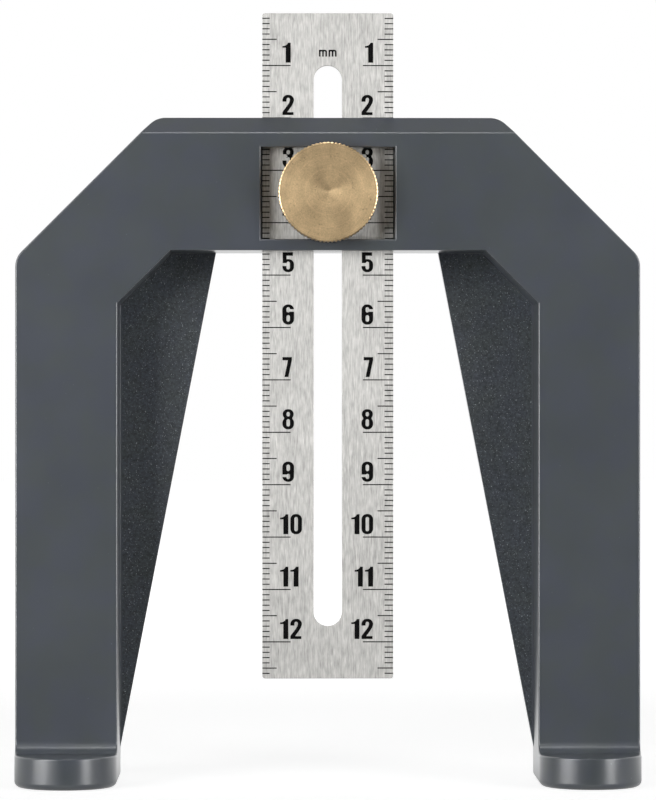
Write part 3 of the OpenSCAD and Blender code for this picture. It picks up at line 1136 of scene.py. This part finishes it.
@dataclass
class Scale:
    """The filled lines and numbers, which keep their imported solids."""

    material: bpy.types.Material
    nodes: tuple[str, ...] = (
        "front_scale_lines",
        "front_scale_numbers",
        "back_scale_lines",
        "back_scale_numbers",
    )

    def build(self) -> None:
        """Dresses the markings."""
        for node in self.nodes:
            Bench.dress(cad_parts[node], self.material)
            LOG.info("%s: packed solid, dressed", node)


@dataclass
class Lamp:
    """A flat soft lamp that looks at the gauge.

    Args:
        name: the lamp's name.
        azimuth: how far it hangs to the right of straight ahead, as an angle.
        elevation: how far it hangs above the gauge, as an angle.
        width: its width.
        height: its height.
        watts: its power.
        distance: how far from the gauge it hangs.
        shine_only: it shows in glossy surfaces and lights nothing else.
    """

    name: str
    azimuth: float
    elevation: float
    width: float
    height: float
    watts: float
    distance: float = 0.6
    shine_only: bool = False

    def build(self, target: Vector) -> None:
        """Hangs the lamp.

        Args:
            target: the point that it looks at.
        """
        turn, rise = math.radians(self.azimuth), math.radians(self.elevation)
        away = Vector(
            (math.sin(turn) * math.cos(rise), -math.cos(turn) * math.cos(rise), math.sin(rise))
        )
        data = bpy.data.lights.new(self.name, "AREA")
        data.shape = "RECTANGLE"
        data.size = self.width
        data.size_y = self.height
        data.energy = self.watts
        lamp = bpy.data.objects.new(self.name, data)
        bpy.context.scene.collection.objects.link(lamp)
        lamp.visible_diffuse = not self.shine_only
        lamp.location = target + away * self.distance
        lamp.rotation_euler = away.to_track_quat("Z", "Y").to_euler()


@dataclass
class Studio:
    """Camera, lamps, white surround and pale floor.

    To the camera the floor glows white. Glossy surfaces see it white only in a patch below and in
    front of the knob, by the feet and behind the gauge, and dark elsewhere.
    """

    front_y: float = -0.0024
    distance: float = 0.8
    eye_height: float = 0.07316
    seen_height: float = 0.1520
    film: float = 36.0
    eye_x: float = -0.010
    lamp_height: float = 0.170
    ambient: float = 0.06
    room: float = 0.03
    overhead: float = 0.30
    # How far back and how far up a direction points where the room's light changes
    room_front: Range = (-0.35, 0.10)
    room_top: Range = (0.70, 0.95)
    floor_size: float = 6.0
    floor_cells: int = 8
    floor_z: float = -0.0001
    floor_colour: Colour = (0.42, 0.42, 0.42, 1.0)
    dark_colour: Colour = (0.02, 0.02, 0.02, 1.0)
    near_glow: float = 0.82
    front_glow: float = 0.06
    foot_glow: float = 0.55
    back_glow: float = 0.45
    # Distance from the middle of the gauge over which the floor's glow rises
    near_floor: Range = (0.20, 0.50)
    # Along Y, from in front of the gauge to behind it
    knob_patch_start: Range = (-0.17, -0.13)
    knob_patch_end: Range = (-0.10, -0.06)
    foot_patch: Range = (-0.024, -0.018)
    back_patch: Range = (0.0, 0.05)
    # Along X, to either side
    knob_patch_side: Range = (0.03, 0.05)
    lamps: list[Lamp] = field(
        default_factory=lambda: [
            Lamp("left_softbox", -42.0, 0.0, 0.30, 0.305, 2.32),
            Lamp("right_softbox", 49.5, 0.0, 0.22, 0.305, 1.60),
            Lamp("right_strip", 72.0, 0.0, 0.07, 0.305, 0.4),
            Lamp("front_overhead", 0.0, 21.0, 0.16, 0.08, 0.17),
            Lamp("high_front", 0.0, 50.0, 0.16, 0.14, 0.65, shine_only=True),
            Lamp("left_high", -46.0, 27.0, 0.26, 0.26, 0.50, shine_only=True),
            Lamp("right_high", 46.0, 22.0, 0.26, 0.20, 0.33, shine_only=True),
            Lamp("left_kicker", -58.0, -13.8, 0.32, 0.05, 0.98, shine_only=True),
            Lamp("right_kicker", 45.0, -13.8, 0.18, 0.05, 0.62, shine_only=True),
            Lamp("back_fill", 180.0, 50.0, 1.0, 0.8, 3.0, 1.2),
        ]
    )

    def build(self) -> None:
        """Sets up the whole studio."""
        self._camera()
        target = Vector((0.0, 0.0, self.lamp_height))
        for lamp in self.lamps:
            lamp.build(target)
        self._surround()
        self._floor()
        bpy.context.scene.view_settings.view_transform = "Standard"

    def _camera(self) -> None:
        """Looks straight at the front face, from the height that the photograph was taken at."""
        data = bpy.data.cameras.new("front_camera")
        data.sensor_fit = "VERTICAL"
        data.sensor_height = self.film
        data.lens = self.film * self.distance / self.seen_height
        camera = bpy.data.objects.new("front_camera", data)
        bpy.context.scene.collection.objects.link(camera)
        camera.location = (self.eye_x, self.front_y - self.distance, self.eye_height)
        camera.rotation_euler = (math.pi / 2, 0.0, math.atan2(self.eye_x, self.distance))
        bpy.context.scene.camera = camera

    def _surround(self) -> None:
        """White behind the gauge, and a plain room for the light that falls on it."""
        world = bpy.data.worlds.new("surround")
        bpy.context.scene.world = world
        tree = Shader("surround", world)
        _, y, z = tree.split(tree.node("ShaderNodeTexCoord", output="Generated"))
        seen = tree.lit(Lens.CAMERA, Lens.TRANSMISSION)
        mirrored = tree.lit(Lens.GLOSSY)
        behind = tree.fit(y, self.room_front, self.room)
        room = behind * tree.fit(z, self.room_top, 1.0, self.overhead)
        strength = seen + mirrored * room + (1 - seen) * (1 - mirrored) * self.ambient
        sockets = {"Color": WHITE, "Strength": strength}
        tree.surface(tree.node("ShaderNodeBackground", None, sockets))

    def _floor(self) -> None:
        """Pale floor that shows white to the camera, less the gauge's own shadow."""
        Bench.clear()
        bpy.ops.mesh.primitive_grid_add(
            x_subdivisions=self.floor_cells,
            y_subdivisions=self.floor_cells,
            size=self.floor_size,
            location=(0.0, 0.0, self.floor_z),
        )
        floor = bpy.context.object
        floor.name = "pale_floor"
        Bench.settle(floor)
        tree = Shader("pale_floor")
        place = tree.place()
        glow = tree.fit(
            tree.vector("LENGTH", place, output="Value"), self.near_floor, self.near_glow
        )
        mirrored = tree.lit(Lens.GLOSSY)
        shown = self._shown(tree, place)
        seen = tree.lit(Lens.CAMERA, Lens.TRANSMISSION) + mirrored * shown
        colour = tree.blend(mirrored * (1 - shown), self.floor_colour, self.dark_colour)
        diffuse = tree.node("ShaderNodeBsdfDiffuse", None, {"Color": colour})
        light = tree.node("ShaderNodeEmission", None, {"Color": WHITE, "Strength": glow * seen})
        both = tree.node("ShaderNodeAddShader", None, {0: diffuse, 1: light})
        Bench.dress(floor, tree.surface(both))

    def _shown(self, tree: Shader, place: Value) -> Value:
        """How white each part of the floor is to glossy surfaces."""
        x, y, _ = tree.split(place)
        knob_patch = tree.fit(y, self.knob_patch_start) * tree.fit(y, self.knob_patch_end, 1.0, 0.0)
        middle = tree.fit(x.math("ABSOLUTE"), self.knob_patch_side, 1.0, 0.0)
        by_feet = tree.fit(y, self.foot_patch, 0.0, self.foot_glow)
        behind = tree.fit(y, self.back_patch, 0.0, self.back_glow)
        return (knob_patch * middle + (by_feet + behind)).math("MAXIMUM", self.front_glow)


def main() -> None:
    """Builds the studio and the pieces in order."""
    logging.basicConfig(level=logging.INFO, format="%(name)s: %(message)s")
    Studio().build()
    leg_x = sum(corner.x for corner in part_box("right_magnet_cup")) / 2
    washer_steel = PlatedSteel("bright_washer_steel", (0.52, 0.52, 0.53), 0.28)
    cup_plating = PlatedSteel("nickel_plated_cup")
    magnet_plating = PlatedSteel("nickel_plated_magnet", (0.44, 0.445, 0.46), 0.32)
    MouldedArch(MouldedPlastic().material(), cuts=(-leg_x, 0.0, leg_x)).build()
    SteelRule(BrushedSteel().material()).build()
    FlatWasher(washer_steel.material()).build()
    MagneticFeet(cup_plating.material(), magnet_plating.material(), leg_x).build()
    Scale(ScaleFilling().material()).build()
    ThumbScrew(TurnedBrass("turned_brass").material()).build()
    Insert(TurnedBrass("insert_brass", (0.68, 0.47, 0.22), 0.30).material()).build()
    Bench.clear()
    bpy.context.view_layer.update()


if __name__ == "__main__":
    main()
